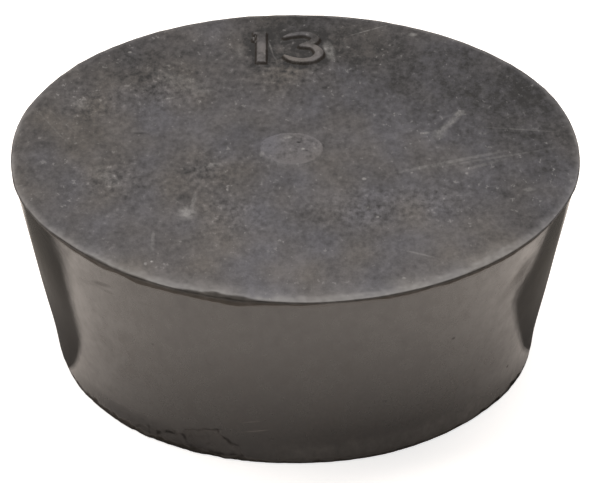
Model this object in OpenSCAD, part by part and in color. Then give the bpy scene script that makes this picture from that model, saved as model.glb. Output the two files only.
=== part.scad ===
// Solid laboratory stopper, trade size 13: one compression-moulded piece of rubber.
// It stands on its small end. The axis is Z, and the small end's face lies at Z = 0.

/* [Plug] */
// Diameter over the lip round the large end
top_d = 68; // [64:0.5:76]
// Diameter of the small end, where its face and the tapered wall would meet
bottom_d = 58; // [50:0.5:62]
// Height from the small end's face to the large end's face
height = 25.4; // [18:0.1:40]

/* [Trimmed lip] */
// Height of the upright band that was cut when the moulding flash was trimmed off
lip_h = 0.45; // [0.2:0.05:1.5]
// Step from the tapered wall out to the cut band, if both reached the large end's face
lip_out = 0.15; // [0.05:0.05:0.6]

/* [Edges] */
// Width of the rolled rim, from the flat of the large end out to the cut band
roll_w = 1.4; // [0.8:0.1:3]
// Drop of the rolled rim, from the flat of the large end down to the cut band
roll_drop = 0.2; // [0.1:0.05:0.7]
// Radius of the moulded edge round the small end
foot_r = 0.3; // [0.2:0.1:2.5]

/* [Centre mark] */
// Diameter of the low round mark that the mould's centre pin leaves, at its foot
mark_d = 8; // [4:0.5:20]
// Height of the centre mark above the large end's face
mark_h = 0.15; // [0.05:0.05:0.5]
// Width of the slope round the centre mark
mark_slope = 0.35; // [0.1:0.05:1]
// Offset of the centre mark from the axis, to the right
mark_x = -0.45; // [-2:0.05:2]
// Offset of the centre mark from the axis, to the back
mark_y = 0.2; // [-2:0.05:2]

/* [Hidden] */
$fn = 180;
arc_fn = 96;                    // sides of the circles that round the section
rubber = "#4a4744";             // black rubber under a grey bloom

top_r = top_d / 2;
bottom_r = bottom_d / 2;
taper = atan((top_r - lip_out - bottom_r) / height);

lip_top_z = height - roll_drop;
lip_foot_z = lip_top_z - lip_h;
lip_foot_r = bottom_r + lip_foot_z * tan(taper);        // the wall's radius under the lip

face_r = top_r - roll_w;                                // the flat of the large end
roll_r = (roll_w * roll_w + roll_drop * roll_drop) / (2 * roll_drop);

foot_x = bottom_r - foot_r * (1 - sin(taper)) / cos(taper);     // centre of the foot's arc
foot_wall_x = foot_x + foot_r * cos(taper);                     // where that arc meets the wall
foot_wall_z = foot_r * (1 - sin(taper));

// Half section of the plug without its two arcs, which bulge out of the chords drawn here
module chord_section() {
    polygon([
        [0, 0],
        [foot_x, 0],
        [foot_wall_x, foot_wall_z],
        [lip_foot_r, lip_foot_z],
        [top_r, lip_foot_z],
        [top_r, lip_top_z],
        [face_r, height],
        [0, height]
    ]);
}

// Arc round the small end, tangent to its face and to the tapered wall
module foot_arc() {
    translate([foot_x, foot_r]) circle(r = foot_r, $fn = arc_fn);
}

// Shallow arc of the rolled rim, tangent to the flat of the large end
module roll_arc() {
    intersection() {
        translate([face_r, height - roll_r]) circle(r = roll_r, $fn = arc_fn);
        translate([face_r, lip_top_z]) square([roll_w, roll_drop]);
    }
}

module plug() {
    rotate_extrude() {
        chord_section();
        foot_arc();
        roll_arc();
    }
}

module centre_mark() {
    translate([mark_x, mark_y, height])
        cylinder(h = mark_h, r1 = mark_d / 2, r2 = mark_d / 2 - mark_slope);
}

module stopper() {
    color(rubber) {
        plug();
        centre_mark();
    }
}

stopper();
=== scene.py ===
import math

import bmesh
import bpy
import numpy as np
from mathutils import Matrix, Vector, noise


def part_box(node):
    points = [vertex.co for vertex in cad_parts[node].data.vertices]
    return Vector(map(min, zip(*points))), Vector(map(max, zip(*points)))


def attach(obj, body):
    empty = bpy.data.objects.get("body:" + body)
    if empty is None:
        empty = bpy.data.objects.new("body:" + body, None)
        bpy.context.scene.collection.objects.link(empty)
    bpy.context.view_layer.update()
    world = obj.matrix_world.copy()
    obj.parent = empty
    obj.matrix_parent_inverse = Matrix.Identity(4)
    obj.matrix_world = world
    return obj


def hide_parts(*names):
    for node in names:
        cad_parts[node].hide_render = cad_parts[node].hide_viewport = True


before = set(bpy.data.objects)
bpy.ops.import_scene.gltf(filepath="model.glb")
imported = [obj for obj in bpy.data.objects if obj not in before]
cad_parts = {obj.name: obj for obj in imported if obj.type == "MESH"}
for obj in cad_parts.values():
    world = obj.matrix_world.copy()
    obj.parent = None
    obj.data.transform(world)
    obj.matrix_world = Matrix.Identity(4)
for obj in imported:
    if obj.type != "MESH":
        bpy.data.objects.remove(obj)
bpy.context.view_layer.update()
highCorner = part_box("stopper")[1]
print("frame loaded")

mm = 0.001
scene = bpy.context.scene
scene.view_settings.view_transform = "Standard"

cameraSetup = {
    "stand": (0.0, -424.6, 274.24),  # mm, where the camera stands
    "aim": (0.608, 0.0, 12.554),  # mm, the point it looks at
    "lens": 246.4,  # mm
    "sensor": 36.0,  # mm, width of the sensor
    "clip": (20.0, 20000.0),  # mm, nearest and farthest that it sees
}


def putOnStand(thing, setup):
    # puts a camera or a lamp where it stands, turned to what it is aimed at
    stand = Vector(setup["stand"])
    thing.location = stand * mm
    thing.rotation_mode = "QUATERNION"
    thing.rotation_quaternion = (Vector(setup["aim"]) - stand).to_track_quat("-Z", "Y")
    scene.collection.objects.link(thing)


def addCamera(setup):
    data = bpy.data.cameras.new("benchCamera")
    data.lens = setup["lens"]
    data.sensor_width = setup["sensor"]
    data.clip_start, data.clip_end = [distance * mm for distance in setup["clip"]]
    camera = bpy.data.objects.new("benchCamera", data)
    putOnStand(camera, setup)
    scene.camera = camera


addCamera(cameraSetup)
print("camera placed")

stopper = {  # mm, the moulded body
    "smallRadius": 29.0,  # small end, where its face and the wall would meet
    "markRise": 0.15,  # centre mark above the large end's face
    "rollWidth": 1.4,  # rolled rim, across
    "rollDrop": 0.2,  # rolled rim, down
    "rollSteps": 12,  # pieces that its arc is drawn in
    "cutHeight": 0.45,  # band left where the moulding flash was trimmed
    "cutStep": 0.15,  # how far that band stands out of the taper
    "cutEdge": 0.06,  # rounding of the band's two edges
    "nook": 0.10,  # rounding where the band's underside meets the wall
    "footRadius": 0.3,  # moulded edge round the small end
}
topRadius = highCorner.x / mm
faceHeight = highCorner.z / mm - stopper["markRise"]
faceRadius = topRadius - stopper["rollWidth"]


def roundedCorner(before, corner, after, radius, steps=10):
    # the arc of that radius which touches both sides of the corner
    tip = Vector(corner)
    toBefore = (Vector(before) - tip).normalized()
    toAfter = (Vector(after) - tip).normalized()
    half = toBefore.angle(toAfter) / 2
    reach = radius / math.tan(half)
    centre = tip + (toBefore + toAfter).normalized() * radius / math.sin(half)
    start = (tip + toBefore * reach - centre).normalized()
    end = (tip + toAfter * reach - centre).normalized()
    arc = []
    for step in range(steps + 1):
        arc.append(tuple(centre + start.slerp(end, step / steps) * radius))
    return arc


def sectionStretches(size):
    # the half section as named stretches, from the middle of the large end over the rim and down
    # the wall to the middle of the small end: its points, and how many rings it gets
    rollRadius = (size["rollWidth"] ** 2 + size["rollDrop"] ** 2) / (2 * size["rollDrop"])
    rollTurn = math.asin(size["rollWidth"] / rollRadius)
    roll = []
    for turn in np.linspace(0, rollTurn, size["rollSteps"] + 1):
        roll.append((faceRadius + rollRadius * math.sin(turn),
                     faceHeight - rollRadius * (1 - math.cos(turn))))
    slope = (topRadius - size["cutStep"] - size["smallRadius"]) / faceHeight
    cutTop = roll[-1]
    cutFoot = (topRadius, cutTop[1] - size["cutHeight"])
    wallTop = (size["smallRadius"] + cutFoot[1] * slope, cutFoot[1])
    smallEdge = (size["smallRadius"], 0.0)
    edge = roundedCorner(roll[-2], cutTop, cutFoot, size["cutEdge"])
    lip = roundedCorner(cutTop, cutFoot, wallTop, size["cutEdge"])
    nook = roundedCorner(cutFoot, wallTop, smallEdge, size["nook"])
    foot = roundedCorner(wallTop, smallEdge, (0.0, 0.0), size["footRadius"])
    roll[-1] = edge[0]
    return [
        ("face", [(0.0, faceHeight), roll[0]], 30),
        ("roll", roll, 8),
        ("edge", edge, 3),
        ("cut", [edge[-1], lip[0]], 4),
        ("lip", lip, 3),
        ("ledge", [lip[-1], nook[0]], 1),
        ("nook", nook, 2),
        ("wall", [nook[-1], foot[0]], 24),
        ("foot", foot, 8),
        ("base", [foot[-1], (0.0, 0.0)], 14),
    ]


stretches = sectionStretches(stopper)
place = {}
for number, stretch in enumerate(stretches):
    place[stretch[0]] = number
wallTop, wallFoot = stretches[place["wall"]][1]
wallLength = math.dist(wallTop, wallFoot)
taper = math.atan((wallTop[0] - wallFoot[0]) / (wallTop[1] - wallFoot[1]))
mmPerDegree = math.radians(1.0) * wallTop[0]  # round the wall
print("section laid out:", len(stretches), "stretches")

spokes = 180  # round the body, before the patches below are cut finer
hair = 1e-4  # far less than any spacing on the flat skin
finerPatches = [
    # from stretch and share of it, to stretch and share, span round the body in degrees,
    # and the extra cuts round and along
    ("face", 0.58, "face", 0.91, 74, 108, 11, 12),  # numerals
    ("face", 0.06, "face", 0.17, -180, 180, 0, 9),  # centre mark's slope
    ("face", 0.50, "face", 0.64, -142, -126, 5, 5),  # knock on the face, left
    ("roll", 0.0, "wall", 0.042, -174, -6, 6, 0),  # rim, front half
    ("wall", 0.0, "wall", 0.042, -174, -6, 0, 3),
    ("wall", 0.042, "wall", 0.70, -62, -24, 2, 2),  # shallow dent, right
    ("wall", 0.80, "foot", 1.0, -142, -94, 6, 0),  # torn foot, left
    ("wall", 0.80, "wall", 1.0, -142, -94, 0, 5),
    ("wall", 0.95, "foot", 1.0, -176, -142, 6, 0),  # foot, far left
    ("wall", 0.95, "wall", 1.0, -176, -142, 0, 5),
    ("wall", 0.95, "foot", 1.0, -94, -6, 6, 0),  # foot, front and right
    ("wall", 0.95, "wall", 1.0, -94, -6, 0, 5),
]


def flatSkin():
    # x is the angle round the body in degrees, y the stretch's number plus the share along it
    along = []
    for number, stretch in enumerate(stretches):
        rings = stretch[2]
        for ring in range(rings):
            along.append(number + ring / rings)
    along.append(float(len(stretches)))
    sheet = bmesh.new()
    rows = []
    for y in along:
        row = []
        for spoke in range(spokes + 1):
            row.append(sheet.verts.new((360 * spoke / spokes - 180, y, 0)))
        rows.append(row)
    for upper, lower in zip(rows, rows[1:]):
        for spoke in range(spokes):
            sheet.faces.new((upper[spoke], lower[spoke], lower[spoke + 1], upper[spoke + 1]))
    return sheet


def cutFiner(sheet, left, right, top, bottom, direction, cuts):
    # cuts the edges of that patch which run one way: 0 is round the body, 1 along the section
    chosen = []
    for line in sheet.edges:
        start, end = line.verts[0].co, line.verts[1].co
        if abs(start[1 - direction] - end[1 - direction]) > hair:
            continue
        middle = (start + end) / 2
        if left - hair <= middle.x <= right + hair and top - hair <= middle.y <= bottom + hair:
            chosen.append(line)
    bmesh.ops.subdivide_edges(sheet, edges=chosen, cuts=cuts, use_grid_fill=True)


def cutPatches(sheet):
    for first, share, last, lastShare, left, right, cutsRound, cutsAlong in finerPatches:
        top = place[first] + share
        bottom = place[last] + lastShare
        if cutsRound:
            cutFiner(sheet, left, right, top, bottom, 0, cutsRound)
        if cutsAlong:
            cutFiner(sheet, left, right, top, bottom, 1, cutsAlong)


skin = flatSkin()
cutPatches(skin)
print("flat skin:", len(skin.verts), "points")

farOutside = -9.0  # mm, farther outside a figure or a tear than any edge reaches


def smoothStep(low, high, value):
    # 0 up to low, 1 from high on, and a soft ramp between
    share = np.clip((value - low) / (high - low), 0.0, 1.0)
    return share * share * (3 - 2 * share)


def smoothLine(points, steps=8):
    # a smooth line through a few points, ends included
    knots = np.array(points, float)
    padded = np.vstack([2 * knots[0] - knots[1], knots, 2 * knots[-1] - knots[-2]])
    line = []
    for a, b, c, d in zip(padded, padded[1:], padded[2:], padded[3:]):
        for step in range(steps):
            t = step / steps
            line.append(0.5 * (2 * b + (c - a) * t + (2 * a - 5 * b + 4 * c - d) * t * t
                               + (3 * b - a - 3 * c + d) * t * t * t))
    line.append(knots[-1])
    return np.array(line)


def insideLine(x, y, line):
    # how deep a point lies inside a line whose third value is its half width; below 0 is outside
    depth = np.full(len(x), farOutside)
    for (ax, ay, aw), (bx, by, bw) in zip(line, line[1:]):
        dx, dy = bx - ax, by - ay
        share = np.clip(((x - ax) * dx + (y - ay) * dy) / (dx * dx + dy * dy), 0.0, 1.0)
        gap = np.hypot(x - ax - share * dx, y - ay - share * dy)
        depth = np.maximum(depth, aw + (bw - aw) * share - gap)
    return depth


def insideBlock(x, y, left, right, front, back):
    across = np.minimum(x - left, right - x)
    deep = np.minimum(y - front, back - y)
    outside = np.hypot(np.minimum(across, 0), np.minimum(deep, 0))
    return np.where((across < 0) | (deep < 0), -outside, np.minimum(across, deep))


seedShift = (7.3, 3.1, 5.7)  # lumps between one seed's noise and the next one's


def noiseAt(points, grain, seed):
    # smooth noise from -1 to 1 whose lumps are about that many mm across
    shift = Vector([seed * step for step in seedShift])
    return np.array([noise.noise(Vector(point) / grain + shift) for point in points])


def uneven(points, level, *noises):
    # a level and the noises that change it, each with its grain in mm, its seed and its strength
    for grain, seed, strength in noises:
        level = level + strength * noiseAt(points, grain, seed)
    return level


numerals = {  # mm, trade size 13 in raised figures, common to all makers
    "rise": 0.55,  # height above the face
    "shoulder": 0.40,  # width of the slope at a stroke's edge
    "crown": 0.12,  # how much a stroke is rounded over
    "crownReach": 0.6,  # in from its edge, over which that runs out
    "haloReach": 1.0,  # reach of the darker halo round the figures
    "haloUneven": (0.95, (1.6, 20, 1.2)),  # level, then grain, seed and strength
    "haloRange": (0.2, 1.4),  # least and most of that
    "stem": (-4.85, -3.5, 20.9, 28.5),  # left, right, front and back of the 1
    "flag": (-5.3, -3.6, 27.7, 28.5),
    "flagHook": [(-5.15, 26.9, 0.25), (-5.15, 26.4, 0.22)],
    "upperBowl": [(-1.3, 27.2, 0.3), (-0.3, 27.8, 0.5), (1.4, 28.0, 0.58),
                  (2.55, 26.9, 0.62), (1.9, 25.6, 0.6), (0.8, 25.1, 0.45)],
    "lowerBowl": [(1.1, 25.1, 0.45), (2.35, 24.8, 0.58), (3.05, 23.3, 0.66),
                  (2.3, 21.85, 0.62), (1.0, 21.4, 0.6), (-0.4, 21.8, 0.55), (-1.3, 22.6, 0.3)],
}
centreMark = {
    "middle": (-0.45, 0.2),  # mm from the axis
    "radius": 4.0,  # mm at its foot
    "slope": 0.35,  # mm
    "wander": (0.0, (1.7, 10, 0.25)),  # mm by which its edge wanders
    "ridge": 0.03,  # mm, height of the raised ring along its edge
    "ridgeInside": 0.15,  # mm from the top of the slope
    "ridgeWidth": 0.25,  # mm
    "ridgeUneven": (0.75, (1.6, 12, 0.8)),
}


def insideNumerals(x, y, figures):
    depth = insideBlock(x, y, *figures["stem"])
    depth = np.maximum(depth, insideBlock(x, y, *figures["flag"]))
    depth = np.maximum(depth, insideLine(x, y, figures["flagHook"]))
    for bowl in ("upperBowl", "lowerBowl"):
        depth = np.maximum(depth, insideLine(x, y, smoothLine(figures[bowl])))
    return depth


slowForm = {
    # how far the moulding strays from its section: degrees round the body, then mm
    "rimUp": [(-180, 0.05), (-152, 0.12), (-142, 0.22), (-130, 0.24), (-118, 0.2), (-106, 0.25),
              (-97, 0.18), (-88, 0.12), (-60, 0.12), (-30, 0.1), (0, 0.02), (30, 0.25),
              (60, 0.2), (90, 0.18), (120, 0.28), (142, 0.35), (162, 0.2), (180, 0.05)],
    "rimOut": [(-180, -0.02), (-172, 0.0), (-166, 0.16), (-160, 0.16), (-150, 0.02),
               (-142, -0.18), (-132, -0.22), (-124, -0.14), (-120, -0.18), (-114, -0.1),
               (-106, -0.22), (-100, -0.12), (-94, -0.08), (-86, 0.03), (-50, 0.05),
               (-24, 0.08), (-14, 0.17), (0, 0.1), (10, 0.12), (22, 0.22), (35, 0.18), (60, 0.1),
               (90, 0.05), (120, 0.15), (142, 0.2), (150, 0.13), (164, 0.2), (180, -0.02)],
    "footOut": [(-180, 0.0), (-162, 0.0), (-154, 0.14), (-146, 0.22), (-138, 0.31),
                (-128, 0.55), (-114, 0.55), (-103, 0.45), (-92, 0.3), (-79, 0.33), (-69, 0.4),
                (-58, 0.24), (-45, 0.15), (-38, 0.18), (-28, 0.26), (-17, 0.26), (-8, 0.12),
                (0, 0.0), (180, 0.0)],
    "waist": [(-180, -0.15), (-160, -0.15), (-148, -0.1), (-125, 0.0), (-55, 0.0), (-30, -0.1),
              (-18, -0.15), (0, -0.12), (60, 0.0), (120, 0.0), (180, -0.15)],
    "waistHeight": 4.4,  # mm above the bench
    "waistReach": 4.2,  # mm up and down the wall
    "faceReach": 14.0,  # mm from the rim inwards over which the face levels out
    "wallReach": 12.0,  # mm down the wall over which the rim's straying runs out
    "footReach": 3.0,  # mm up the wall
    "still": 20.0,  # mm from the axis within which the straying dies away
    "wave": (0.0, (17.0, 1, 0.05)),  # mm, slow unevenness of the moulded surface
    "waveOnFace": 0.5,  # share of it that the face has
    "waveStart": (0.3, 4.0),  # mm of height over which it grows on the wall
    "hollow": 0.06,  # mm by which the base is hollow in the middle
    "hollowReach": 4.0,  # mm from the foot inwards over which it sinks
}
trimmedBand = {
    # mm of band height by degrees round the body, 0 to the right and -90 to the front
    "height": [(-180, 0.1), (-152, 0.1), (-145, 0.3), (-138, 0.5), (-132, 0.75), (-127, 0.6),
               (-122, 0.8), (-113, 0.65), (-104, 0.95), (-100, 0.9), (-96, 0.5), (-88, 0.28),
               (-80, 0.16), (-76, 0.2), (-71, 0.5), (-58, 0.45), (-53, 0.4), (-48, 0.5),
               (-36, 0.3), (-28, 0.12), (0, 0.25), (60, 0.45), (120, 0.35), (180, 0.1)],
    "thinnest": 0.04,  # mm
    # mm by which the knife also bevelled the rolled rim
    "bite": [(-180, 0.0), (-150, 0.05), (-134, 0.15), (-121, 0.15), (-114, 0.1), (-111, 0.28),
             (-108.5, 0.2), (-106.5, 0.5), (-103.5, 0.5), (-100, 0.4), (-97, 0.15), (-88, 0.08),
             (-60, 0.1), (-50, 0.15), (-38, 0.08), (-20, 0.0), (180, 0.0)],
    "biteUneven": (0.0, (2.2, 18, 0.5), (0.7, 19, 0.25)),
    "biteEdge": (-0.1, 0.15),  # mm over which the bitten rubber begins
    "bevel": 0.4,  # mm down for each mm across
    "wobble": 0.12,  # mm, unevenness of its lower edge
    "wobbleUneven": (0.0, (3.0, 4, 1.0), (0.8, 5, 0.6)),
    "chips": 0.13,  # mm, unevenness of its upper edge
    "chipsUneven": (0.6, (1.1, 6, 1.0), (4.0, 9, 0.7)),
    "chipsAt": (0.5, 0.8),  # middle and half width of the chipped part, by the rim's edge
    "fade": 2.5,  # mm down the wall over which the unevenness runs out
    "bare": 0.4,  # how bare its upper part is, next to 1 for the rest
    # shares of the rim's edge, the band and the nook where the bare rubber begins, is fully bare
    # and ends
    "bareSpan": (0.6, 0.6, 0.5),
    "underBandShade": 0.55,  # how strongly shade is painted on the wall right under the band, in the cut rubber's colour
    "nookReach": 0.35,  # mm down the wall that this painted shade reaches
    "bareUneven": (1.0, (0.7, 13, 0.35)),
}
knocks = {
    "wallDent": [(-32.5, 24.4, 1.4), (-36.0, 21.6, 1.6), (-40.0, 19.4, 1.5), (-44.0, 17.6, 1.0)],
    "wallDepth": 0.03,  # mm
    "wallSlope": (-1.4, 1.8),  # mm outside and inside that line over which it sinks
    "faceDent": [(-13.0, -12.3, 0.8), (-12.8, -14.2, 0.9)],  # mm from the axis
    "faceDepth": 0.14,  # mm
    "faceSlope": (-0.5, 0.8),  # mm
}
tornFoot = {
    # upper edge of the torn skin: degrees round the body and mm of height
    "edge": [(-131, 0.0), (-129.7, 1.2), (-126, 1.8), (-123.5, 1.5), (-121, 2.2), (-116.6, 2.6),
             (-115.8, 3.1), (-111.9, 3.7), (-107.5, 4.4), (-107.2, 3.5), (-105.8, 3.0),
             (-104.5, 2.3), (-103.1, 2.1), (-100.5, 0.0)],
    "depth": 0.12,  # mm
    # tears, painted as dark lines of shade where the torn skin steps in: degrees round the body,
    # mm of height and mm of half width
    "tears": [
        [(-129.7, 1.2, 0.12), (-125.9, 1.8, 0.2), (-125.8, 0.9, 0.12)],
        [(-123.5, 1.4, 0.15), (-121.0, 2.2, 0.18), (-119.0, 1.9, 0.16), (-116.4, 2.3, 0.24),
         (-115.4, 1.4, 0.3), (-114.1, 0.6, 0.3)],
        [(-116.1, 3.0, 0.08), (-111.9, 3.7, 0.1), (-107.5, 4.3, 0.14), (-107.2, 3.6, 0.16),
         (-105.8, 3.0, 0.16), (-104.5, 2.3, 0.24), (-103.1, 2.1, 0.16)],
        [(-110.0, 0.8, 0.1), (-105.5, 0.6, 0.2), (-101.8, 0.9, 0.15)],
    ],
    "tearSlope": (-0.28, 0.14),  # mm outside and inside them over which their painted shade darkens
    "tearUneven": (0.85, (1.1, 16, 1.0)),
    "tearRange": (0.35, 1.0),  # least and most of that
    "wander": 0.28,  # mm, how far the tears and the edge wander
    "wanderUp": (0.0, (0.8, 11, 1.0), (2.2, 17, 1.0)),
    "firm": 0.3,  # mm of height up to which the edge stays
    "softEdge": 0.15,  # mm
    # mm of height of the rough moulding edge all round, then how dark the contact shade painted
    # along it is, and how much darker the wall is painted above it
    "rough": [(-180, 0.45), (-155, 0.6), (-140, 0.9), (-122, 0.8), (-100, 0.5), (-60, 0.45),
              (-45, 0.5), (-35, 0.7), (-28, 0.8), (-15, 0.75), (-5, 0.4), (180, 0.4)],
    "roughDepth": 0.05,  # mm
    "roughSlope": (-0.4, 0.3),  # mm above and below that height
    "roughShade": [(-180, 0.5), (-145, 0.4), (-125, 0.45), (-110, 0.4), (-95, 0.3), (-60, 0.3),
                   (-45, 0.55), (-38, 0.8), (-5, 0.9), (0, 0.6), (180, 0.6)],
    "footDark": [(-180, 0.15), (-150, 0.3), (-140, 0.4), (-130, 0.5), (-112, 0.5), (-104, 0.2),
              (-95, 0.0), (-46, 0.0), (-38, 0.22), (-28, 0.3), (0, 0.12), (180, 0.12)],
    "footDarkReach": 6.0,  # mm of height over which it thins out
    # share that a thin coat of bench dust covers, painted pale also as a sheen for the brighter
    # bench that the wall mirrors there
    "dustAndSheen": [(-112, 0.0), (-100, 0.05), (-88, 0.26), (-58, 0.34), (-46, 0.3), (-36, 0.12),
                (-25, 0.0)],
    "dustAndSheenReach": 4.5,  # mm of height over which it thins out
    "deepest": 0.3,  # mm below the bench, where the darkening and the dust would be full
    # grain of torn rubber: its noises, and how much it changes the depth of the torn skin, the
    # rough edge, the darkening towards the foot and the dust
    "grain": (0.0, (1.3, 2, 1.0), (0.5, 3, 0.5)),
    "grainOn": {"depth": 0.6, "rough": 0.6, "footDark": 0.5, "dustAndSheen": 0.2},
    "depthLevel": 0.75,  # share of the depth before the grain
}
damagePaint = {
    # how strong each kind of damage and its painted shade are, the darkening towards the foot
    # included, and how much the grain adds
    "tornBare": (0.15, 0.25), "bittenShade": (0.4, 0.4),
    "tornShade": 0.1, "tear": 0.75, "footDark": 0.9,
}


def aroundBody(angle, row):
    degrees, values = zip(*row)
    return np.interp(angle, degrees, values)


def sectionAt(along):
    # radius, height, and outward and upward direction of the plain section at every skin point
    section = np.zeros((4, len(along)))
    for number, stretch in enumerate(stretches):
        line = np.array(stretch[1])
        run = np.gradient(line, axis=0)
        run /= np.linalg.norm(run, axis=1)[:, None]
        steps = np.linspace(0, 1, len(line))
        here = (along >= number) & (along <= number + 1)
        for row, values in zip(section, (line[:, 0], line[:, 1], -run[:, 1], run[:, 0])):
            row[here] = np.interp(along[here] - number, steps, values)
    return section


bloomAndLightSpots = [
    # where the bloom is thick or thin, with a painted fall of light, paler at the front and darker
    # behind and to the right: mm from the axis, reach in mm, share
    (-6, -30, 16, 0.30), (-27, -14, 12, 0.1), (20, -26, 13, 0.22), (30, 6, 12, -0.15),
    (24, 20, 12, -0.22), (0, 31, 8, -0.35), (-21, 22, 8, -0.12), (-12, 30, 6, 0.08),
    (12.5, 31, 5, 0.08), (3, -12, 9, 0.12), (8, 3, 8, 0.1), (-13, 4, 9, 0.14),
    (-17, 17, 4, -0.22), (10, 24, 6, -0.25), (19, 0, 9, 0.12), (30, 0, 5, -0.08),
    (17, -18, 4, 0.15), (-1, -28, 3, 0.15), (5, -18, 5, -0.14), (27, -17, 4, -0.12),
    (-13, 10, 4, 0.1), (-18, 27, 4, -0.14), (27, 11, 5, -0.14), (15, 15, 5, -0.06),
    (-10, -4, 4, -0.08),
]
bloomLevel = 0.45  # share of the thick bloom away from those spots
lumpySpots = [
    # where the bloom is lumpy: mm from the axis, reach in mm, share
    (-25, 11, 3.5, 1), (-21.5, -7, 4, 1), (-10.5, -5, 4, 1), (-8, -15, 5, 1), (8, -14, 5, 1),
    (16, -12, 4, 1), (-16, 15, 5, 1), (-1, 20, 5, 1),
]
markLumps = 0.7  # how lumpy it is on the centre mark
mostLumps = 1.2  # where both meet
warmSpots = [
    # where the bloom is browner or, below 0, cooler: mm from the axis, reach in mm, share
    (-28, 4, 11, 0.3), (22, 6, 14, -0.55), (-2, 27, 10, 0.3), (8, -6, 6, 0.25),
    (-20, -26, 12, 0.3), (26, -20, 8, 0.3), (20, 24, 9, -0.25),
]
rimRubAndHighlight = {
    # degrees round the body and how far the rolled rim is rubbed pale, painted also as the
    # highlight that it catches
    "rubAndSheen": [(-180, 0.35), (-165, 0.3), (-150, 0.5), (-120, 0.75), (-60, 0.75), (-40, 0.55),
             (-25, 0.3), (0, 0.2), (15, 0.3), (50, 0.5), (70, 0.35), (90, 0.65), (105, 0.35),
             (150, 0.25), (180, 0.35)],
    "reach": 0.9,  # mm outwards over which that grows
    "start": -0.1,  # mm outside the flat face where it begins
    "startBehind": 0.5,  # mm further out away from the front
    "behind": (-26.0, -12.0),  # mm behind the axis over which that grows; below 0 is before it
    "startUneven": (0.0, (1.3, 7, 0.5)),  # mm
    "rubAndSheenUneven": (0.85, (0.6, 15, 0.5)),
    "apron": 0.4,  # how far the face inside the front rim is rubbed too, also as painted highlight
    "apronReach": (-1.4, -0.5),  # mm outside the flat face; below 0 is on it
    "apronFront": (17.0, 26.0),  # mm before the axis
    "apronUneven": (0.6, (6.0, 14, 0.9)),
    "scuffGlintUneven": (0.55, (2.5, 8, 0.9)),  # scuffs along the rim's sharp edge, painted pale also as its highlight line
    "scuffGlintAt": (-0.05, 0.25),  # middle and half width of them
    "scuffGlintTilt": 60.0,  # mm towards the front over which they grow by a whole share
    "rubAndSheenPale": 0.5,  # how much paler the bloom is where the rim is rubbed, painted also as its highlight
}


def spread(x, y, spots, share):
    # that share all over, changed by soft round spots
    shares = np.full(len(x), share)
    for spotX, spotY, reach, change in spots:
        shares += change * np.exp(-((x - spotX) ** 2 + (y - spotY) ** 2) / reach ** 2)
    return shares


class SkinPlaces:
    # where every skin point lies on the plain section, in mm, and what it belongs to
    def __init__(self, sheet):
        flat = np.array([vert.co[:2] for vert in sheet.verts])
        angle, along = flat[:, 0], flat[:, 1]
        turn = np.radians(angle)
        across, deep = np.cos(turn), np.sin(turn)
        self.angle, self.along, self.turn = angle, along, turn
        self.radius, self.height, self.outward, self.upward = sectionAt(along)
        self.x, self.y = self.radius * across, self.radius * deep
        self.points = np.column_stack([self.x, self.y, self.height])
        self.rim = np.column_stack([topRadius * across, topRadius * deep, 0 * turn])
        self.grain = uneven(self.points, *tornFoot["grain"])
        self.downWall = np.maximum(along - place["wall"], 0) * wallLength
        self.onFace = along < place["roll"]
        self.onTop = along <= place["edge"] + 0.5  # up to the middle of the rim's sharp edge
        self.onWall = (along > place["wall"]) & (along < place["foot"])
        self.onSide = (along > place["wall"]) & (along < place["base"] + hair)
        self.onBase = along > place["base"]


def nearEdge(at, middle, half):
    # 1 in the middle of a narrow band by the rim's sharp edge, down to 0 at its borders; both are
    # given as shares of that edge's own stretch
    return np.clip(1 - np.abs(at.along - place["edge"] - middle) / half, 0, 1)


def figuresAndMark(at, figures, mark):
    # mm of lift of the raised figures and the centre mark, and their paint, with painted
    # shade on the figures' steep sides
    depth = np.full(len(at.x), farOutside)
    depth[at.onFace] = insideNumerals(at.x[at.onFace], at.y[at.onFace], figures)
    half = figures["shoulder"] / 2
    raised = smoothStep(-half, half, depth)
    rounded = figures["crown"] * (1 - smoothStep(0.0, figures["crownReach"], depth))
    lift = raised * (figures["rise"] - rounded)
    halo = np.exp(-(np.minimum(depth, 0) / figures["haloReach"]) ** 2)
    halo = halo * np.clip(uneven(at.points, *figures["haloUneven"]), *figures["haloRange"])

    fromMark = np.hypot(at.x - mark["middle"][0], at.y - mark["middle"][1])
    fromMark += uneven(at.points, *mark["wander"])
    markTop = mark["radius"] - mark["slope"]
    inMark = np.where(at.onFace, smoothStep(-mark["radius"], -markTop, -fromMark), 0.0)
    lift += stopper["markRise"] * inMark
    fromRidge = (fromMark - markTop + mark["ridgeInside"]) / mark["ridgeWidth"]
    ridge = np.where(at.onFace, np.exp(-fromRidge ** 2), 0.0)
    lift += mark["ridge"] * ridge
    return lift, {
        "raised": raised,
        # the figures' steep sides, which take the painted shade
        "sides": 4 * raised * (1 - raised),
        "halo": np.where(at.onFace, halo, 0.0),
        "inMark": inMark,
        "ridge": ridge * uneven(at.points, *mark["ridgeUneven"]),
    }


def roundWall(line):
    # a line given in degrees round the body, in mm round the wall
    return [(degrees * mmPerDegree, height, width) for degrees, height, width in line]


def knockDepth(at, knocks):
    # mm by which the knocks sink the surface
    dip = insideLine(at.x, at.y, knocks["faceDent"])
    dent = insideLine(at.angle * mmPerDegree, at.height, roundWall(knocks["wallDent"]))
    face = knocks["faceDepth"] * smoothStep(*knocks["faceSlope"], dip)
    wall = knocks["wallDepth"] * smoothStep(*knocks["wallSlope"], dent)
    return np.where(at.onFace, face, 0.0) + np.where(at.onWall, wall, 0.0)


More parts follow.
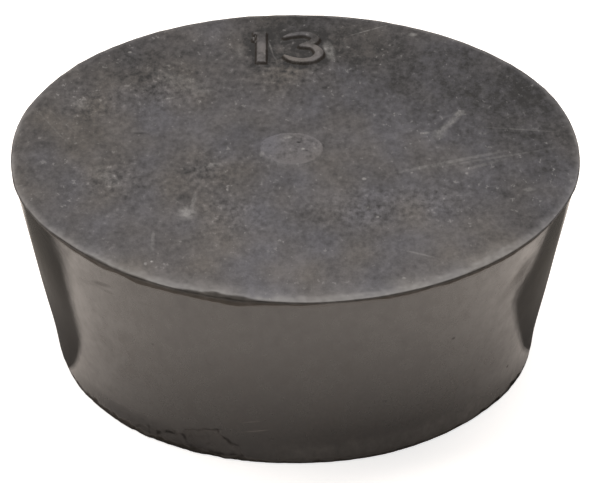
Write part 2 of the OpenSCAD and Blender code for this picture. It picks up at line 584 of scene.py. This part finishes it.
def footDamage(at, foot):
    # mm by which the foot sinks towards the axis, and its paint, with painted shade in the tears
    # and along the rough edge; nothing sinks towards the bench, so the stopper still stands on its
    # base
    grainOn = foot["grainOn"]
    tornTop = aroundBody(at.angle, foot["edge"])
    tornTop = tornTop + foot["wander"] * at.grain * (tornTop > foot["firm"])
    soft = foot["softEdge"]
    torn = smoothStep(-soft, soft, tornTop - at.height) * (at.onSide & (tornTop > 0))
    roughTop = aroundBody(at.angle, foot["rough"]) * (1 + grainOn["rough"] * at.grain)
    ragged = smoothStep(*foot["roughSlope"], roughTop - at.height) * at.onSide
    sink = foot["depth"] * torn * (foot["depthLevel"] + grainOn["depth"] * at.grain)
    sink = sink + foot["roughDepth"] * ragged * (1 + at.grain)

    across = at.angle * mmPerDegree + foot["wander"] * at.grain
    up = at.height + foot["wander"] * uneven(at.points, *foot["wanderUp"])
    # painted shade in the tears, where the torn skin steps in
    tear = np.full(len(at.x), farOutside)
    for line in foot["tears"]:
        tear = np.maximum(tear, insideLine(across, up, roundWall(line)))
    tear = smoothStep(*foot["tearSlope"], tear) * at.onSide
    tear = tear * np.clip(uneven(at.points, *foot["tearUneven"]), *foot["tearRange"])
    # darker towards the foot, and pale dust there that is also a painted sheen
    low = {}
    for label in ("footDark", "dustAndSheen"):
        reach = smoothStep(-foot[label + "Reach"], foot["deepest"], -at.height) * at.onSide
        low[label] = reach * aroundBody(at.angle, foot[label]) * (1 + grainOn[label] * at.grain)
    return sink, {
        "torn": torn,
        "ragged": ragged,
        "raggedShade": aroundBody(at.angle, foot["roughShade"]) * ragged,
        "tear": tear,
        **low,
    }


def trimmedRim(at, band):
    # what the trimming knife did: mm by which it chipped the upper edge, shifted the band's lower
    # edge down and bevelled the rolled rim, and where it bit into that
    bandHeight = aroundBody(at.angle, band["height"])
    bandHeight += band["wobble"] * uneven(at.rim, *band["wobbleUneven"])
    bandHeight = np.maximum(bandHeight, band["thinnest"])
    lowered = np.clip(at.along - place["cut"], 0, 1)
    faded = np.clip(1 - at.downWall / band["fade"], 0, 1)
    drop = (bandHeight - stopper["cutHeight"]) * lowered * faded

    chipped = band["chips"] * nearEdge(at, *band["chipsAt"])
    chipped = chipped * uneven(at.rim, *band["chipsUneven"])

    bite = aroundBody(at.angle, band["bite"])
    bite = bite * (1 + uneven(at.rim, *band["biteUneven"])) - (topRadius - at.radius)
    onRoll = (at.along > place["roll"]) & (at.along <= place["cut"] + 1)
    bevelled = band["bevel"] * np.maximum(bite, 0) * onRoll * (1 - lowered)
    bitten = smoothStep(*band["biteEdge"], bite) * onRoll * (1 - lowered)
    return chipped, drop, bevelled, bitten


def straying(at, form):
    # mm by which the moulding strays outwards and upwards from its section
    nearRim = np.where(at.onFace,
                       smoothStep(-form["faceReach"], 0.0, at.radius - faceRadius),
                       smoothStep(-form["wallReach"], 0.0, -at.downWall))
    nearFoot = smoothStep(-form["footReach"], 0.0, -at.height) * ~at.onTop
    nearWaist = np.exp(-((at.height - form["waistHeight"]) / form["waistReach"]) ** 2)
    outwards = (aroundBody(at.angle, form["rimOut"]) * nearRim
                + aroundBody(at.angle, form["footOut"]) * nearFoot
                + aroundBody(at.angle, form["waist"]) * nearWaist * at.onSide)
    return (outwards * np.clip(at.radius / form["still"], 0, 1),
            aroundBody(at.angle, form["rimUp"]) * nearRim)


def rimRubAndHighlightShares(at, rim, radius, bitten):
    # how far the rolled rim is rubbed pale and painted as its highlight, and its sharp edge
    # scuffed and painted with a highlight line
    fromFace = radius - faceRadius + uneven(at.points, *rim["startUneven"])
    start = rim["startBehind"] * smoothStep(*rim["behind"], at.y) + rim["start"]
    apron = np.clip(uneven(at.rim, *rim["apronUneven"]), 0, 1)
    rubAndSheen = rim["apron"] * apron * smoothStep(*rim["apronReach"], fromFace)
    rubAndSheen = rubAndSheen * smoothStep(*rim["apronFront"], -at.y)
    rubAndSheen = rubAndSheen + (aroundBody(at.angle, rim["rubAndSheen"])
                   * smoothStep(start, start + rim["reach"], fromFace))
    rubAndSheen = np.where(at.onTop, rubAndSheen, 0.0) * uneven(at.points, *rim["rubAndSheenUneven"]) * (1 - bitten)
    scuffs = uneven(at.rim, *rim["scuffGlintUneven"]) - at.y / rim["scuffGlintTilt"]
    return rubAndSheen, nearEdge(at, *rim["scuffGlintAt"]) * np.clip(scuffs, 0, 1) * (1 - bitten)


def cutBareAndShade(at, band):
    # how bare the trimmed band is, and the shade painted on the wall right under it
    first, full, last = band["bareSpan"]
    onBand = (at.along >= place["edge"] + first) & (at.along <= place["nook"] + last)
    upper = band["bare"]
    bare = onBand * (upper + (1 - upper) * smoothStep(0.0, full, at.along - place["cut"]))
    # painted shade on the wall just under the band's ledge
    underBand = np.exp(-(at.downWall / band["nookReach"]) ** 2) * (at.downWall > 0)
    bare = bare + band["underBandShade"] * underBand
    return bare * uneven(at.points, *band["bareUneven"])


def wrapSkin(sheet):
    # lays the flat skin round the section, raises and sinks the surface, and returns the paint
    at = SkinPlaces(sheet)
    waving = np.where(at.onFace, slowForm["waveOnFace"],
                      smoothStep(*slowForm["waveStart"], at.height))
    wave = uneven(at.points, *slowForm["wave"]) * waving
    figureLift, figurePaint = figuresAndMark(at, numerals, centreMark)
    chipped, drop, bevelled, bitten = trimmedRim(at, trimmedBand)
    lift = wave + figureLift - knockDepth(at, knocks) - chipped
    sink, footPaint = footDamage(at, tornFoot)
    outwards, upwards = straying(at, slowForm)

    radius = at.radius + lift * at.outward - sink + outwards
    radius = radius - drop * math.tan(taper) * (at.along >= place["ledge"])
    height = at.height + lift * at.upward - drop - bevelled + upwards
    hollow = smoothStep(0.0, slowForm["hollowReach"], wallFoot[0] - radius)
    height = height + slowForm["hollow"] * hollow * at.onBase
    position = np.column_stack([radius * np.cos(at.turn), radius * np.sin(at.turn), height]) * mm
    for vert, spot in zip(sheet.verts, position):
        vert.co = spot

    # the rubbed rim and its scuffed edge, painted pale also as their highlights
    rubAndSheen, scuffAndGlint = rimRubAndHighlightShares(at, rimRubAndHighlight, radius, bitten)
    lumpy = markLumps * figurePaint["inMark"] + spread(at.x, at.y, lumpySpots, 0.0)
    strength, torn = damagePaint, footPaint["torn"]
    tornBare, tornGrain = strength["tornBare"]
    bittenShade, bittenGrain = strength["bittenShade"]
    bare = np.max([cutBareAndShade(at, trimmedBand), (tornBare + tornGrain * at.grain) * torn,
                   footPaint["ragged"], bitten], axis=0)
    # painted shade of tears, foot edge, torn skin and bitten bevel, and the darkening towards the
    # foot
    darkestShade = np.max([strength["tear"] * footPaint["tear"], footPaint["raggedShade"],
                    strength["footDark"] * footPaint["footDark"],
                    (bittenShade + bittenGrain * at.grain) * bitten], axis=0)
    pale = np.clip(spread(at.x, at.y, bloomAndLightSpots, bloomLevel), 0, 1)
    return {
        "topSide": at.onTop.astype(float),
        "bare": np.clip(bare, 0, 1),
        "darkestShade": np.clip(darkestShade + strength["tornShade"] * torn, 0, 1),
        "dustAndSheen": footPaint["dustAndSheen"],
        "scuffAndGlint": scuffAndGlint,
        "rubAndSheen": rubAndSheen,
        "lumpy": np.where(at.onTop, np.clip(lumpy, 0, mostLumps), 0.0),
        "pale": pale + rimRubAndHighlight["rubAndSheenPale"] * rubAndSheen,
        "warm": spread(at.x, at.y, warmSpots, 0.0),
        **figurePaint,
    }


paint = wrapSkin(skin)
print("skin wrapped round the section")


weldReach = 0.002  # mm, closes the seam at the back and the middles of both ends


def makePiece(sheet, name, paint):
    mesh = bpy.data.meshes.new(name)
    for label, values in paint.items():
        layer = sheet.verts.layers.float.new(label)
        for vert, value in zip(sheet.verts, values):
            vert[layer] = value
    bmesh.ops.remove_doubles(sheet, verts=sheet.verts, dist=weldReach * mm)
    bmesh.ops.recalc_face_normals(sheet, faces=sheet.faces)
    for face in sheet.faces:
        face.smooth = True
    sheet.to_mesh(mesh)
    sheet.free()
    piece = bpy.data.objects.new(name, mesh)
    scene.collection.objects.link(piece)
    return piece


mouldedStopper = makePiece(skin, "mouldedStopper", paint)
triangles = sum(len(face.vertices) - 2 for face in mouldedStopper.data.polygons)
print("stopper made:", triangles, "triangles")


def linear(hexColour):
    channels = []
    for start in (1, 3, 5):
        value = int(hexColour[start:start + 2], 16) / 255
        channels.append(value / 12.92 if value <= 0.04045 else ((value + 0.055) / 1.055) ** 2.4)
    return (*channels, 1.0)


def addNode(tree, kind, sockets=None, **settings):
    # one node with its settings; a socket's value may be another node's output, which is linked
    node = tree.nodes.new("ShaderNode" + kind)
    for name, value in settings.items():
        setattr(node, name, value)
    for name, value in (sockets or {}).items():
        if isinstance(value, bpy.types.NodeSocket):
            tree.links.new(value, node.inputs[name])
        else:
            node.inputs[name].default_value = value
    return node


def weighed(tree, *shares):
    # the sum of some shares, where one that comes as a pair is first scaled by its second value
    total = None
    for share in shares:
        if isinstance(share, tuple):
            share = addNode(tree, "Math", dict(enumerate(share)), operation="MULTIPLY").outputs[0]
        if total is not None:
            share = addNode(tree, "Math", {0: total, 1: share}, operation="ADD").outputs[0]
        total = share
    return total


def strongest(tree, *shares):
    most = shares[0]
    for share in shares[1:]:
        most = addNode(tree, "Math", {0: most, 1: share}, operation="MAXIMUM").outputs[0]
    return most


def layOver(tree, ground, *coats):
    # lays coats over a ground, each by its share: colours, or plain values such as roughness
    kind = "FLOAT" if isinstance(ground, float) else "RGBA"
    for share, coat in coats:
        ground = addNode(tree, "Mix", {"Factor": share, "A": ground, "B": coat},
                         data_type=kind).outputs["Result"]
    return ground


def newMaterial(name):
    material = bpy.data.materials.new(name)
    material.use_nodes = True
    material.node_tree.nodes.clear()
    return material, material.node_tree


mouldedRubber = {
    "black": "#282726",  # carbon black filled rubber
    "thinBloom": "#363433",  # film of sulphur and wax on the face
    "coolBloom": "#6a676a",  # the same film where it is thick
    # pale dust and scuffs; also painted as the rubbed rim's highlight and as a sheen near the foot
    "warmBloom": "#706963",
    "dust": "#9c9894",  # pale dust and scuffs
    "cutFace": "#5a5550",  # rubber laid bare by the trimming knife; under the band, painted shade on the wall
    "figureSideShade": "#36302b",  # painted shade on the steep sides of the raised figures, darker than the bloom
    "darkestShade": "#100e0d",  # near black: painted shade in tears, at the foot's edge and on the bevel, and darkening low down
    "wallRoughness": 0.13,
    "faceRoughness": 0.4,
    "cutRoughness": 0.75,
    "ior": 1.6,
    "film": 0.85,  # how much of the face's gloss the film hides
    "cutDull": 0.85,  # the same where the rubber is laid bare
    "dustAndSheenGain": 8.0,  # how fast the dust near the bench, which is also painted sheen, takes its colour
    # patterns of noise: size of a lump in mm, detail, and the range from low to high
    "patches": (5.0, 6.0, -0.2, 0.2),
    "smallPatches": (1.8, 3.0, -0.12, 0.12),
    "grit": (0.7, 4.0, -0.22, 0.22),
    "lumps": (0.9, 3.0, -0.34, 0.46),
    "warmth": (9.0, 1.0, -0.06, 0.84),
    "specks": (0.9, 2.0, -2.6, 0.3),  # single specks of dust on the face
    "speckClouds": (7.0, 2.0, 0.0, 1.5),  # where they are many, and where few
    "motes": (1.1, 2.0, -0.06, 0.07),  # fainter dust all over
    "haze": (3.0, 3.0, -0.05, 0.15),  # thin bloom on the wall
    "fineHaze": (1.4, 2.0, -0.04, 0.11),
    "brokenMarks": (0.9, 4.0, 0.1, 1.6),  # what the marks on the face are broken up by
    "orangePeel": (2.2, 2.0, 0.0, 0.09),  # ripples of the wall, as a share of the relief
    "noiseRoughness": 0.65,
    "noiseSpan": (0.3, 0.7),  # where nearly all of the noise's values lie
    "wiped": (1.3, 0.8, 1.0),  # how much denser the bloom's pattern is across, along and up
    # how much paler the bloom is on each of these, and how dusty; on the rubbed rim and its scuffs
    # both are also painted highlight; below 0 is darker
    "paler": {"raised": 0.95, "inMark": 0.28, "ridge": 0.3, "halo": -0.6, "scuffAndGlint": 0.9},
    "glintDust": {"rubAndSheen": 0.5, "scuffAndGlint": 0.4},
    "reliefHeight": 0.12,  # mm, height of the bloom's lumps
    "gritRelief": 0.3,  # share of that height which the grit has
    "markFade": (0.45, 1.15),  # share of a mark's size over which it fades out
    "markReach": (4.0, 2.0),  # mm, how deep a mark reaches into the face and into the wall
}
faceMarks = [
    # mm from the axis, half length, half width, degrees, and how pale; below 0 is dark
    (17.4, 3.9, 1.7, 0.9, 66, 0.27), (18.8, 6.6, 3.2, 0.6, 60, 0.3),  # scuff
    (20.1, 8.9, 0.9, 0.6, 50, 0.25), (17.7, 6.4, 1.6, 0.3, 60, -0.25),
    (15.8, 4.1, 0.7, 0.35, 20, 0.3),
    (18.2, -2.9, 8.2, 0.42, 21, 0.24), (23.0, -2.1, 9.2, 0.3, 17, 0.15),  # scratches
    (22.2, -3.6, 3.6, 0.4, 27, 0.17), (26.6, 4.9, 5.5, 0.2, -8, 0.16),
    (9.8, 29.8, 4.0, 0.15, 29, 0.3), (-29.5, 5.7, 4.5, 0.16, -62, 0.14),
    (-28.2, 6.8, 4.0, 0.14, -58, 0.1),
    (-12.65, -14.4, 1.1, 1.7, 0, 0.5), (-13.0, -10.9, 0.95, 1.2, 0, -0.6),  # knock
    (-11.9, -11.6, 0.35, 1.8, -8, 0.3),
    (-13.9, 16.5, 5.2, 1.7, -38, 0.14), (-26.1, 11.0, 1.9, 1.0, -45, 0.12),
    (-22.2, -6.4, 3.2, 1.1, -60, 0.16), (-16.4, -20.9, 0.28, 2.4, 0, 0.25),
    (14.1, -23.6, 2.4, 0.22, -25, 0.3), (-9.8, -3.5, 1.3, 0.5, 10, 0.25),
    (27.6, -9.3, 0.8, 0.5, 0, 0.3), (14.8, 28.4, 0.6, 0.5, 0, 0.4),
    (-15.3, 12.6, 0.7, 0.22, 20, 0.4), (-18.8, 4.1, 1.0, 0.3, 0, -0.45),
    (4.3, 24.4, 0.7, 2.6, 8, 0.4), (-6.8, 24.1, 0.6, 2.0, 0, 0.12),  # by the numerals
    # dark spots painted as the shade in pits, and a bright speck painted as a highlight
    (0.45, 1.65, 0.32, 0.26, 0, -0.8), (0.96, 0.06, 0.26, 0.28, 0, 0.8),  # centre mark
    (1.4, -0.3, 0.22, 0.22, 0, -0.5), (-0.9, 2.9, 0.6, 0.4, 0, 0.4),
    (-3.95, -1.1, 0.35, 0.6, 0, 0.35),
    (-3.0, 25.1, 1.8, 0.14, 100, 0.25), (-2.5, 22.7, 0.8, 0.14, 110, 0.2),
    (8.2, -6.7, 0.28, 0.35, 0, 0.9), (-17.1, -26.0, 0.22, 0.35, 0, 0.9),  # crumbs
    (-16.4, -25.5, 0.18, 0.25, 0, 0.8), (8.6, -13.4, 0.3, 0.35, 0, 0.5),
    (9.6, -15.4, 0.25, 0.3, 0, 0.7), (-20.6, 23.7, 0.3, 0.3, 0, 0.5),
    (12.4, -29.0, 0.25, 0.3, 0, 0.5),
]
wallMarks = [
    # degrees round the body and mm of height, half length, half width, degrees, and how pale
    (-99.7, 6.3, 1.4, 0.14, 14, 0.45), (-98.6, 4.9, 1.8, 0.15, 13, 0.6),
    # the first three: a bright line and dark strips painted as the reflection of the shallow dent
    (-35.7, 18.0, 2.2, 0.16, 48, 0.22), (-39.0, 19.4, 3.9, 1.6, 36, -0.27),
    (-36.2, 20.8, 2.6, 1.2, 36, -0.22), (-132.6, 21.8, 2.0, 0.36, 9, -0.34),
    (-136.5, 20.9, 3.2, 0.5, 14, -0.22), (-131.0, 21.0, 1.4, 0.3, 4, -0.2),
    (-133.5, 12.2, 0.8, 1.8, 0, -0.18), (-131.0, 9.4, 0.6, 0.9, 0, -0.15),
    (-120.0, 21.5, 2.6, 0.3, 5, -0.12), (-105.0, 19.0, 2.0, 0.5, 3, -0.1),
    (-55.0, 15.5, 0.3, 0.25, 0, -0.6), (-32.0, 4.8, 0.3, 0.25, 0, -0.6),
    (-39.2, 3.7, 0.3, 0.2, 0, 0.3), (-84.0, 13.0, 3.0, 0.12, 80, 0.12),
    (-121.0, 15.5, 0.25, 0.2, 0, -0.4), (-70.0, 8.5, 0.25, 0.2, 0, -0.4),
]


def addMark(tree, spot, look, centre, rotation, halves, strength, before):
    # soft ellipse of that strength, added to the marks before it
    turned = addNode(tree, "Mapping", {
        "Vector": spot,
        "Location": Vector(centre) * mm,
        "Rotation": rotation,
        "Scale": Vector(halves) * mm,
    }, vector_type="TEXTURE").outputs[0]
    reach = addNode(tree, "VectorMath", {0: turned}, operation="LENGTH").outputs["Value"]
    inner, outer = look["markFade"]
    mark = addNode(tree, "MapRange", {"Value": reach, "From Min": inner, "From Max": outer,
                                      "To Min": strength, "To Max": 0.0}).outputs["Result"]
    return weighed(tree, mark, before)


def addMarks(tree, spot, look, brokenUp, topSide):
    # all marks of wear; those of the face are broken up by a pattern and kept to the top side
    onFace, onWall = look["markReach"]
    marks = 0.0
    for x, y, halfLength, halfWidth, degrees, strength in faceMarks:
        marks = addMark(tree, spot, look, (x, y, faceHeight), (0, 0, math.radians(degrees)),
                        (halfLength, halfWidth, onFace), strength, marks)
    marks = weighed(tree, (marks, brokenUp))
    marks = weighed(tree, (marks, topSide))
    for degrees, height, halfLength, halfWidth, tilt, strength in wallMarks:
        turn = math.radians(degrees)
        away = wallTop[0] - (wallTop[1] - height) * math.tan(taper)
        marks = addMark(tree, spot, look, (away * math.cos(turn), away * math.sin(turn), height),
                        (math.radians(tilt), 0, turn), (onWall, halfLength, halfWidth),
                        strength, marks)
    return marks


def mouldedBlackRubber(look, paint):
    # compression-moulded black rubber: the steel mould leaves the wall smooth, so it mirrors the
    # bench softly, while bloom and dust make the upper face dull and grey
    material, tree = newMaterial("compressionMouldedBlackRubber")
    spot = addNode(tree, "TexCoord").outputs["Object"]
    on = {}
    for label in paint:
        on[label] = addNode(tree, "Attribute", attribute_name=label).outputs["Fac"]
    # the face is wiped from front to back, which draws the bloom's lumps out that way
    wiped = addNode(tree, "Mapping", {"Vector": spot, "Scale": look["wiped"]}).outputs[0]
    least, most = look["noiseSpan"]

    def grainOf(pattern):
        # one of the patterns of noise, with its texture scale for coordinates in metres
        size, detail, low, high = look[pattern]
        lumps = addNode(tree, "TexNoise", {
            "Vector": wiped, "Scale": 1 / (size * mm),
            "Detail": detail, "Roughness": look["noiseRoughness"],
        }).outputs["Fac"]
        return addNode(tree, "MapRange", {"Value": lumps, "From Min": least, "From Max": most,
                                          "To Min": low, "To Max": high}).outputs["Result"]

    marks = addMarks(tree, spot, look, grainOf("brokenMarks"), on["topSide"])
    patches = weighed(tree, grainOf("patches"), grainOf("smallPatches"))
    grit = grainOf("grit")
    lumps = weighed(tree, (grainOf("lumps"), on["lumpy"]))
    paler = [(on[label], strength) for label, strength in look["paler"].items()]
    pale = weighed(tree, on["pale"], patches, grit, lumps, *paler)
    warmth = weighed(tree, grainOf("warmth"), on["warm"])
    thick = layOver(tree, linear(look["coolBloom"]), (warmth, linear(look["warmBloom"])))

    specks = strongest(tree, weighed(tree, (grainOf("specks"), grainOf("speckClouds"))), 0.0)
    motes = strongest(tree, grainOf("motes"), 0.0)
    glintDust = [(on[label], strength) for label, strength in look["glintDust"].items()]
    dustAndGlint = addNode(tree, "Math", {
        0: specks, 1: on["topSide"], 2: weighed(tree, marks, motes, *glintDust),
    }, operation="MULTIPLY_ADD", use_clamp=True).outputs[0]
    darkened = addNode(tree, "Math", {0: marks, 1: -1.0}, operation="MULTIPLY",
                       use_clamp=True).outputs[0]
    # pale dust near the foot, painted also as a sheen for the brighter bench mirrored there
    dustAndSheen = weighed(tree, (on["dustAndSheen"], look["dustAndSheenGain"]))
    # the film's colour, with the painted shade, the rim's painted highlight and the foot's painted
    # sheen
    film = layOver(tree, linear(look["thinBloom"]), (pale, thick),
                   (on["sides"], linear(look["figureSideShade"])), (dustAndGlint, linear(look["dust"])),
                   (darkened, linear(look["black"])), (dustAndSheen, linear(look["dust"])),
                   (on["bare"], linear(look["cutFace"])), (on["darkestShade"], linear(look["darkestShade"])))

    # where the film hides the gloss: on the face, in a thin haze on the wall, on damage, and where
    # shade, highlights and the sheen near the foot are painted
    cover = strongest(tree, weighed(tree, (on["topSide"], look["film"])),
                      weighed(tree, grainOf("haze"), grainOf("fineHaze"), on["dustAndSheen"]),
                      dustAndGlint, darkened, weighed(tree, (on["bare"], look["cutDull"])), on["darkestShade"])

    # fine relief of the bloom, and a faint orange peel on the wall
    relief = weighed(tree, lumps, (grit, look["gritRelief"]))
    relief = weighed(tree, (relief, on["topSide"]))
    relief = weighed(tree, relief, grainOf("orangePeel"))
    bump = addNode(tree, "Bump", {"Distance": look["reliefHeight"] * mm, "Height": relief})
    colour = layOver(tree, linear(look["black"]), (on["bare"], linear(look["cutFace"])))
    roughness = layOver(tree, look["wallRoughness"], (on["topSide"], look["faceRoughness"]),
                        (on["bare"], look["cutRoughness"]))
    rubber = addNode(tree, "BsdfPrincipled", {"Base Color": colour, "Roughness": roughness,
                                              "IOR": look["ior"], "Normal": bump.outputs[0]})
    bloom = addNode(tree, "BsdfDiffuse", {"Color": film, "Normal": bump.outputs[0]})
    surface = addNode(tree, "MixShader", {0: cover, 1: rubber.outputs[0], 2: bloom.outputs[0]})
    addNode(tree, "OutputMaterial", {"Surface": surface.outputs[0]})
    return material


mouldedStopper.data.materials.append(mouldedBlackRubber(mouldedRubber, paint))
print("rubber finished")

bench = {
    "side": 3000.0,  # mm
    "level": -0.02,  # mm, a hair below the stopper's base
    "paper": "#f5e9df",  # matt ivory bench paper
    "seenPaper": "#ffffff",  # what the camera makes of it in full light
    "seenGlow": 0.75,  # glow added where the camera sees the paper
    "mirroredGlow": 1.08,  # glow added where gloss mirrors it
    "shadeMiddle": (2.2, -0.8, 0.0),  # mm, middle of the stopper's soft shade on the paper
    "shadeStretch": (1.0, 1.064, 1.0),  # how much longer it is across, along and up
    "shaded": (22.8, 45.0),  # mm from there, between which that glow grows from nothing
}


def addSheet(name, corners, material, faces=None):
    mesh = bpy.data.meshes.new(name)
    faces = faces or [range(len(corners))]
    mesh.from_pydata([Vector(corner) * mm for corner in corners], [], faces)
    mesh.materials.append(material)
    sheet = bpy.data.objects.new(name, mesh)
    scene.collection.objects.link(sheet)
    return sheet


def mattPaper(look):
    # matt paper that the camera sees as pure white wherever the stopper doesn't shade it
    material, tree = newMaterial("mattWhitePaper")
    rays = addNode(tree, "LightPath").outputs
    spot = addNode(tree, "TexCoord").outputs["Object"]
    oval = addNode(tree, "Mapping", {
        "Vector": spot,
        "Location": Vector(look["shadeMiddle"]) * mm,
        "Scale": look["shadeStretch"],
    }, vector_type="TEXTURE").outputs[0]
    away = addNode(tree, "VectorMath", {0: oval}, operation="LENGTH").outputs["Value"]
    nearest, farthest = look["shaded"]
    grown = addNode(tree, "MapRange", {"Value": away, "From Min": nearest * mm,
                                       "From Max": farthest * mm, "To Min": 0.0,
                                       "To Max": look["mirroredGlow"]}).outputs["Result"]
    mirrored = strongest(tree, rays["Is Glossy Ray"], rays["Is Transmission Ray"])
    glow = addNode(tree, "Math", {0: rays["Is Camera Ray"], 1: look["seenGlow"],
                                  2: weighed(tree, (mirrored, grown))},
                   operation="MULTIPLY_ADD").outputs[0]
    tint = layOver(tree, linear(look["paper"]), (rays["Is Camera Ray"], linear(look["seenPaper"])))
    glowing = addNode(tree, "Emission", {"Color": tint, "Strength": glow})
    paper = addNode(tree, "BsdfDiffuse", {"Color": linear(look["paper"])})
    both = addNode(tree, "AddShader", {0: paper.outputs[0], 1: glowing.outputs[0]})
    addNode(tree, "OutputMaterial", {"Surface": both.outputs[0]})
    return material


def addBench(look):
    half = look["side"] / 2
    corners = []
    for x, y in ((-half, -half), (half, -half), (half, half), (-half, half)):
        corners.append((x, y, look["level"]))
    addSheet("benchPaper", corners, mattPaper(look))


addBench(bench)

darkCards = {
    # grey of the side cards: mm from the axis and colour, painted darker right next to the stopper
    # as its shade
    "greys": [(31.5, "#78726d"), (37.0, "#8f8881"), (43.0, "#77716a"), (47.5, "#6c6761")],
    "backColour": "#1c1a18",
    # the border that the wall mirrors: mm from the axis, and mm over which it fades out
    "left": [(-27.2, -9.2, 1.2), (-28.6, -9.8, 1.3), (-30.7, -10.4, 1.6), (-32.8, -10.7, 1.9),
             (-34.2, -10.6, 2.2), (-38.4, -8.8, 3.0), (-41.1, -7.8, 3.8), (-44.3, -7.2, 4.8),
             (-46.8, -7.0, 5.0), (-49.3, -6.5, 6.0), (-51.5, -4.0, 7.0), (-75.0, 6.0, 8.0)],
    "right": [(28.2, -4.8, 1.2), (30.1, -6.5, 1.5), (32.4, -6.9, 1.8), (34.8, -7.8, 2.1),
              (37.5, -8.7, 2.5), (40.3, -9.5, 3.0), (42.4, -8.4, 3.8), (44.4, -6.0, 4.8),
              (46.2, -2.0, 5.0), (48.5, 1.5, 5.5), (51.0, 6.0, 6.0), (75.0, 14.0, 8.0)],
    # the same for the border at the back, mirrored for the left card
    "far": [(75.0, 46.0, 14.0), (52.0, 38.0, 14.0), (43.0, 28.0, 12.0), (34.0, 19.0, 8.0),
            (27.0, 13.0, 5.0)],
    "lift": 0.1,  # mm above the bench
    "back": [(-60, 110, 0), (250, 110, 0), (250, 110, 220), (-60, 110, 60)],
}


def greyCard(look):
    # dull studio card with a faded border; it only darkens what the glossy rubber mirrors
    material, tree = newMaterial("greyStudioCard")
    spot = addNode(tree, "TexCoord").outputs["Object"]
    away = addNode(tree, "VectorMath", {0: spot}, operation="LENGTH").outputs["Value"]
    coats = []
    for nearer, (far, grey) in zip(look["greys"], look["greys"][1:]):
        share = addNode(tree, "MapRange", {"Value": away, "From Min": nearer[0] * mm,
                                           "From Max": far * mm}).outputs["Result"]
        coats.append((share, linear(grey)))
    colour = layOver(tree, linear(look["greys"][0][1]), *coats)
    card = addNode(tree, "BsdfDiffuse", {"Color": colour})
    gap = addNode(tree, "BsdfTransparent")
    solid = addNode(tree, "Attribute", attribute_name="solid").outputs["Fac"]
    both = addNode(tree, "MixShader", {0: solid, 1: gap.outputs[0], 2: card.outputs[0]})
    addNode(tree, "OutputMaterial", {"Surface": both.outputs[0]})
    return material


def blackCard(look):
    # black studio card, which the far side of the rubber mirrors
    material, tree = newMaterial("blackStudioCard")
    card = addNode(tree, "BsdfDiffuse", {"Color": linear(look["backColour"])})
    addNode(tree, "OutputMaterial", {"Surface": card.outputs[0]})
    return material


def fadedCard(name, border, material, look):
    # a flat card whose border fades out: a strip from outside to inside, and the rest behind it
    side = 1 if border[0][0] > 0 else -1
    border = border + [(side * x, y, fade) for x, y, fade in look["far"]]
    line = np.array([point[:2] for point in border])
    run = np.roll(line, -1, axis=0) - np.roll(line, 1, axis=0)
    run /= np.linalg.norm(run, axis=1)[:, None]
    outwards = np.column_stack([run[:, 1], -run[:, 0]]) * side
    fade = np.array([point[2] for point in border])[:, None]
    rings = np.concatenate([line + outwards * fade / 2, line - outwards * fade / 2])
    corners = [(x, y, look["lift"]) for x, y in rings]
    count = len(line)
    faces = [tuple(range(count, 2 * count))]
    for k in range(count):
        after = (k + 1) % count
        faces.append((k, after, count + after, count + k))
    card = addSheet(name, corners, material, faces)
    solid = card.data.attributes.new("solid", "FLOAT", "POINT")
    for number, value in enumerate(solid.data):
        value.value = 0.0 if number < count else 1.0
    return card


def addDarkCards(look):
    grey = greyCard(look)
    cards = [addSheet("backDarkCard", look["back"], blackCard(look))]
    for side in ("left", "right"):
        cards.append(fadedCard(side + "DarkCard", look[side], grey, look))
    for card in cards:
        card.visible_camera = False
        card.visible_diffuse = False
        card.visible_transmission = False
        card.visible_shadow = False


addDarkCards(darkCards)

softbox = {
    "stand": (-40, 100, 430),  # mm
    "aim": (0, 0, 0),
    "size": (800, 350),  # mm
    "power": 3.3,  # W
}
surroundings = {
    "fill": 0.15,  # strength of the pale room as a light
    "seen": 1.0,  # strength where the camera or a mirroring surface sees it
}


def addSoftbox(look):
    # one wide soft light from above and a little behind
    data = bpy.data.lights.new("overheadSoftbox", "AREA")
    data.shape = "RECTANGLE"
    data.size, data.size_y = [side * mm for side in look["size"]]
    data.energy = look["power"]
    lamp = bpy.data.objects.new("overheadSoftbox", data)
    lamp.visible_camera = False
    putOnStand(lamp, look)


def setSurroundings(look):
    # a white room to the camera and to mirroring surfaces, and a plain grey one as a light
    world = bpy.data.worlds.new("paleRoom")
    scene.world = world
    world.use_nodes = True
    tree = world.node_tree
    tree.nodes.clear()
    rays = addNode(tree, "LightPath").outputs
    seen = strongest(tree, rays["Is Camera Ray"], rays["Is Glossy Ray"],
                     rays["Is Transmission Ray"])
    strength = layOver(tree, look["fill"], (seen, look["seen"]))
    room = addNode(tree, "Background", {"Strength": strength})
    addNode(tree, "OutputWorld", {"Surface": room.outputs[0]})


addSoftbox(softbox)
setSurroundings(surroundings)
print("bench and lights ready")

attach(mouldedStopper, "root")
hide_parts("stopper")
